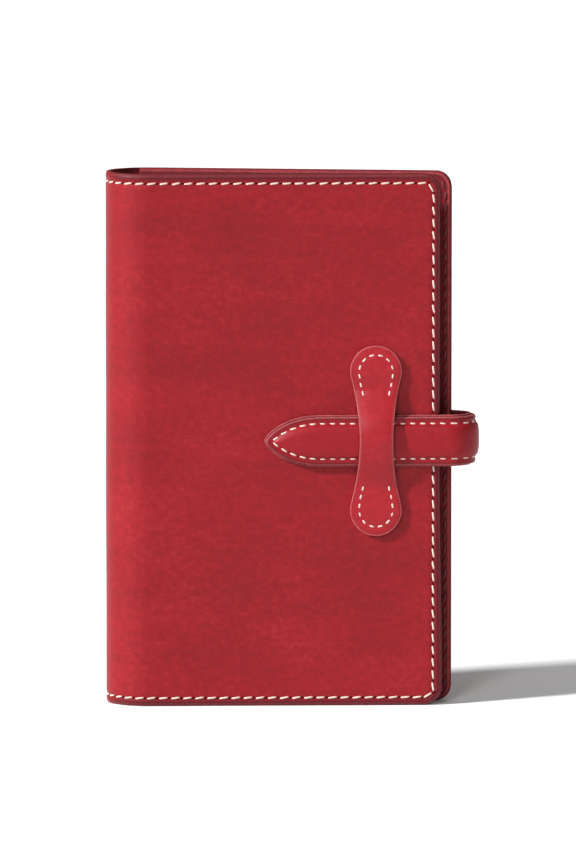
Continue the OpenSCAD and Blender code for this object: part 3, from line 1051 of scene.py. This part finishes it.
def strap_seam_places():
    inner = STRAP_HALF - SEAM_INSET
    tip = STRAP_TIP - 2.3
    long = TONGUE_LONG - 2.6
    run = np.linspace(0, long, 24)
    arch = zip(run, arch_half(run, long, inner))
    upper = [(ANCHOR_S + STRAP_HALF, inner)] + [(tip - long + a, b) for a, b in arch]
    lower = [(a, -b) for a, b in upper[::-1]]
    round_end = arc((ANCHOR_S + STRAP_HALF, 0), inner, -90, -270, 16)
    places = [spaced(part, STRAP_PITCH) for part in (upper, lower, round_end)]
    return np.concatenate(places)


STRAP_PLACES = strap_seam_places()


def strap_seam_height(s, w):
    d = strap_edge_distance(np.array([s]), np.array([w]))
    return float(strap_height(d)[0]) - 0.02


def strap_seam_piece(name, s0, s1, seed):
    chosen = [p for p in STRAP_PLACES if s0 <= p[0] < s1]
    raised = [(s, w + STRAP_Z, a) for s, w, a in chosen]
    return seam(name, raised, STRAP, height=lambda s, z: strap_seam_height(s, z - STRAP_Z),
                lean=3, length=0.74, seed=seed)


anchor_seam = strap_seam_piece("strap_anchor_seam", 0, MIDS[0], 11)
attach(anchor_seam, "back_cover")
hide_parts("strap_anchor_stitching")
tongue_seam = strap_seam_piece("strap_tongue_seam", MIDS[4], STRAP_TIP, 12)
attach(tongue_seam, "tongue")
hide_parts("strap_tongue_stitching")
for k in range(4):
    turn_seam = strap_seam_piece(f"strap_turn_seam_{k + 1}", MIDS[k], MIDS[k + 1], 13 + k)
    ride_strap(turn_seam, k)
    if k < 3:
        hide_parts(f"strap_bend_{k + 1}_stitching")
print("strap stitches:", len(STRAP_PLACES))

# %% [markdown]
# ## The keeper
# The keeper is one piece of thick leather with two round ends. It lies flat where
# it is sewn down and rises over the strap in between. Its outline is a waist of
# two large arcs that run smoothly into the round ends.

# %% Keeper
KEEPER_X = 84.3
KEEPER_END = 21.6
KEEPER_R = 8.0
KEEPER_RISE = 5.15
KEEPER_T = 1.6
KEEPER_OVER = STRAP_LIFT + STRAP_T + 0.35
KEEPER_S = FRONT.s_of_x(KEEPER_X)
KEEPER_SEAM = 2.7


def keeper_half(z):
    """Half the keeper's width at a height from its middle."""
    waist_r = (KEEPER_END ** 2 + KEEPER_RISE ** 2 - KEEPER_R ** 2) / (2 * (KEEPER_R - KEEPER_RISE))
    touch = KEEPER_END * waist_r / (waist_r + KEEPER_R)
    z = np.abs(z)
    waist = KEEPER_RISE + waist_r - np.sqrt(np.clip(waist_r ** 2 - z * z, 0, None))
    end = np.sqrt(np.clip(KEEPER_R ** 2 - (z - KEEPER_END) ** 2, 0, None))
    return np.where(z < touch, waist, end)


def keeper_lift(z):
    """Height of the keeper's underside: flat where it is sewn, arched over the strap."""
    turn = unit(np.abs(z - 0.8) / 15.8) * math.pi / 2
    return (KEEPER_OVER + 0.85) * np.cos(turn) ** 1.4


def model_keeper():
    tip = KEEPER_END + KEEPER_R
    rows = [-tip * math.cos(a) for a in np.linspace(0.02, math.pi - 0.02, 90)]
    across = np.array([0, 0.03, 0.08, 0.14, 0.21, 0.29, 0.38, 0.5])
    across = np.concatenate([across, 1 - across[-2::-1]]) * 2 - 1
    obj, z, share = grid("keeper_leather", rows, across)
    w = share * keeper_half(z)
    set_points(obj, np.stack([z, np.zeros_like(z), w], -1))
    thicken(obj, KEEPER_T)
    face_outwards(obj)
    apply_modifier(obj, "BEVEL", width=0.42, segments=3, limit_method="ANGLE",
                   angle_limit=math.radians(50))
    co = points_of(obj)
    along, up, side = co[:, 0], co[:, 1], co[:, 2]
    d = keeper_half(along) - np.abs(side)
    ends = KEEPER_R - np.hypot(side, np.abs(along) - KEEPER_END)
    d = np.clip(np.where(np.abs(along) > KEEPER_END, ends, d), 0, None)
    upper = up > -0.6
    dip = 0.16 * ridge(d, KEEPER_SEAM, 0.5) * (np.abs(along) > 14) * upper
    dome = 0.34 * (1 - unit(1 - d / 4.5) ** 2)
    height = up + KEEPER_T + keeper_lift(along) + 0.04 - dip + dome * upper
    keep(obj, "edge", unit((1.0 - d) / 0.6) * upper * 0.35)
    # Light band along the keeper's cut edge: painted highlight over the raw cut's colour.
    keep(obj, "rim", unit((0.45 - d) / 0.35) * 0.85)
    set_points(obj, np.stack([KEEPER_S + side, height, STRAP_Z + along], -1))
    wrap(obj, FRONT, (700, 300))
    dress(finish_mesh(obj, 50), KEEPER_RED)
    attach(obj, "front_cover")
    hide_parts("keeper")
    print("keeper", len(obj.data.polygons), "faces")


model_keeper()


def keeper_places(end):
    """A horseshoe of stitches: round the end, then down both sides of the waist."""
    r = KEEPER_R - KEEPER_SEAM
    leg_z, leg_w = KEEPER_END - 8.2, 3.75
    left = [(-leg_w, leg_z), (-r + 0.35, KEEPER_END - 3.2)]
    crown = arc((0, KEEPER_END), r, 200, -20, 24)
    points = left + crown + [(-p[0], p[1]) for p in left[::-1]]
    return [(KEEPER_S + w, STRAP_Z + end * z, end * a) for w, z, a in spaced(points, 2.75)]


def keeper_top(s, z):
    return KEEPER_T + float(keeper_lift(z - STRAP_Z)) - 0.02


for side, word in ((1, "upper"), (-1, "lower")):
    keeper_seam = seam(f"keeper_{word}_seam", keeper_places(side), FRONT, height=keeper_top,
                       lean=3 * side, length=0.64, seed=30 + side)
    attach(keeper_seam, "front_cover")
    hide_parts(f"keeper_{word}_stitching")

# %% [markdown]
# ## The book
# The pages are sewn sections. Each section is a pile of leaves that are not cut
# perfectly level, which is what makes the edge of a book look like paper and not
# like a block. Each leaf is a thin sheet with rounded outer corners.

# %% Leaves and sections
PAGE_X = 10.0
PAGE_W = 88.0
PAGE_H = 150.0
PAGE_Z = (CASE_H - PAGE_H) / 2
PAGE_R = 4.0
ROOT_HALF = 4.5
FORE_PAGE_HALF = 2.9
SPLIT = 0.1
LEAVES = 7


def block_y(x, share):
    half = ROOT_HALF + (FORE_PAGE_HALF - ROOT_HALF) * (x - PAGE_X) / PAGE_W
    return SPLIT + (half - SPLIT) * share


def leaf_sheet(name, side, share0, share1, inset, extra=0.0):
    """One leaf between two shares of the block's half thickness, as a closed thin body."""
    x_end = PAGE_X + PAGE_W - inset
    columns = [PAGE_X + 0.05] + lines((PAGE_X + 3, x_end - 4, 12)) \
        + [x_end - d for d in (2.6, 1.4, 0.5, 0)]
    shares = [0, 0.004, 0.012, 0.024, 0.2, 0.4, 0.6, 0.8, 0.976, 0.988, 0.996, 1]
    obj, x, share = grid(name, columns, shares)
    cut = corner_cut(x, x_end, PAGE_R)
    z = PAGE_Z + inset * 0.4 + cut + share * (PAGE_H - inset * 0.8 - 2 * cut)
    set_points(obj, np.stack([x, np.zeros_like(x), z], -1))
    thicken(obj, 1.0)
    co = points_of(obj)
    top = co[:, 1] > -0.5
    y0, y1 = block_y(co[:, 0], share0), block_y(co[:, 0], share1)
    flat = np.stack([co[:, 0], co[:, 2], np.zeros(len(co))], -1)
    near = np.minimum(x_end - co[:, 0], np.minimum(co[:, 2] - PAGE_Z, PAGE_Z + PAGE_H - co[:, 2]))
    co[:, 1] = side * np.where(top, y1 + extra, y0)
    set_points(obj, (co + [NOSE_X, 0, 0]) * MM)
    keep(obj, "hide", flat)
    keep(obj, "edge", (near < 0.3).astype(float))
    return obj


def join(objects, name):
    clear_selection()
    for obj in objects:
        obj.select_set(True)
    bpy.context.view_layer.objects.active = objects[0]
    bpy.ops.object.join()
    objects[0].name = name
    return objects[0]


def section(number):
    front = number <= 3
    side, body = (-1, "front_pages") if front else (1, "back_pages")
    rank = 3 - number if front else number - 4
    rng = np.random.default_rng(number)
    leaves = []
    for k in range(LEAVES):
        a = (rank + (k + 0.06) / LEAVES) / 3
        b = (rank + (k + 0.94) / LEAVES) / 3
        leaves.append(leaf_sheet("leaf", side, a, b, abs(rng.normal(0, 0.16))))
    obj = join(leaves, f"section_{number}")
    dress(finish_mesh(obj, 30), PAGE)
    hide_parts(f"page_section_{number}")
    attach(obj, body)
    print("section", number, len(obj.data.polygons), "faces")


for number in range(1, 7):
    section(number)

# %% [markdown]
# The endleaves are single leaves of darker paper, one at each side of the block,
# between the last section and the board.

# %% Endleaves
for side, word in ((-1, "front"), (1, "back")):
    leaf = leaf_sheet(f"{word}_endleaf", side, 1.0, 1.0, 0.0, extra=0.28)
    dress(finish_mesh(leaf, 30), FLYLEAF)
    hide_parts(f"{word}_flyleaf")
    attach(leaf, f"{word}_pages")

# %% [markdown]
# ## The folds of the book's cover
# Between the card spine and each board the book's cover is a strip of thin card
# that folds when the case opens. It is a narrow sheet from the spine strip to
# the board.

# %% Folding strips
def fold(side, word):
    near, far = np.array([8.75, 5.65]), np.array([15.1, 11.3])
    obj, share, level = grid(f"{word}_fold", lines((0, 1, 0.1)), [0, 0.02, 0.5, 0.98, 1])
    set_points(obj, np.stack([share, np.zeros_like(share), level], -1))
    thicken(obj, 1.0)
    co = points_of(obj)
    place = near + co[:, :1] * (far - near)
    slack = 0.5 * np.sin(co[:, 0] * math.pi)
    y = side * (place[:, 1] + slack + 0.4 * co[:, 1])
    set_points(obj, np.stack([place[:, 0] + NOSE_X, y, 6 + co[:, 2] * 154], -1) * MM)
    dress(finish_mesh(obj, 40), CARD)
    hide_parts(f"book_{word}_hinge")
    on_case(near[0], side * near[1])
    on_case(far[0], side * far[1])
    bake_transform(obj)


fold(-1, "front")
fold(1, "back")

# %% [markdown]
# ## The small parts that stay as they are
# Boards, spine strip, cloth and sewing thread already have their true shape, so
# they only need a finish.

# %% Finishes on the frame's own nodes
for node, material in (("book_front_board", CARD), ("book_back_board", CARD),
                       ("book_spine_strip", CARD), ("spine_cloth", CLOTH),
                       ("sewing_thread", CLOTH)):
    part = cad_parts[node]
    part.data.materials.clear()
    part.data.materials.append(material)
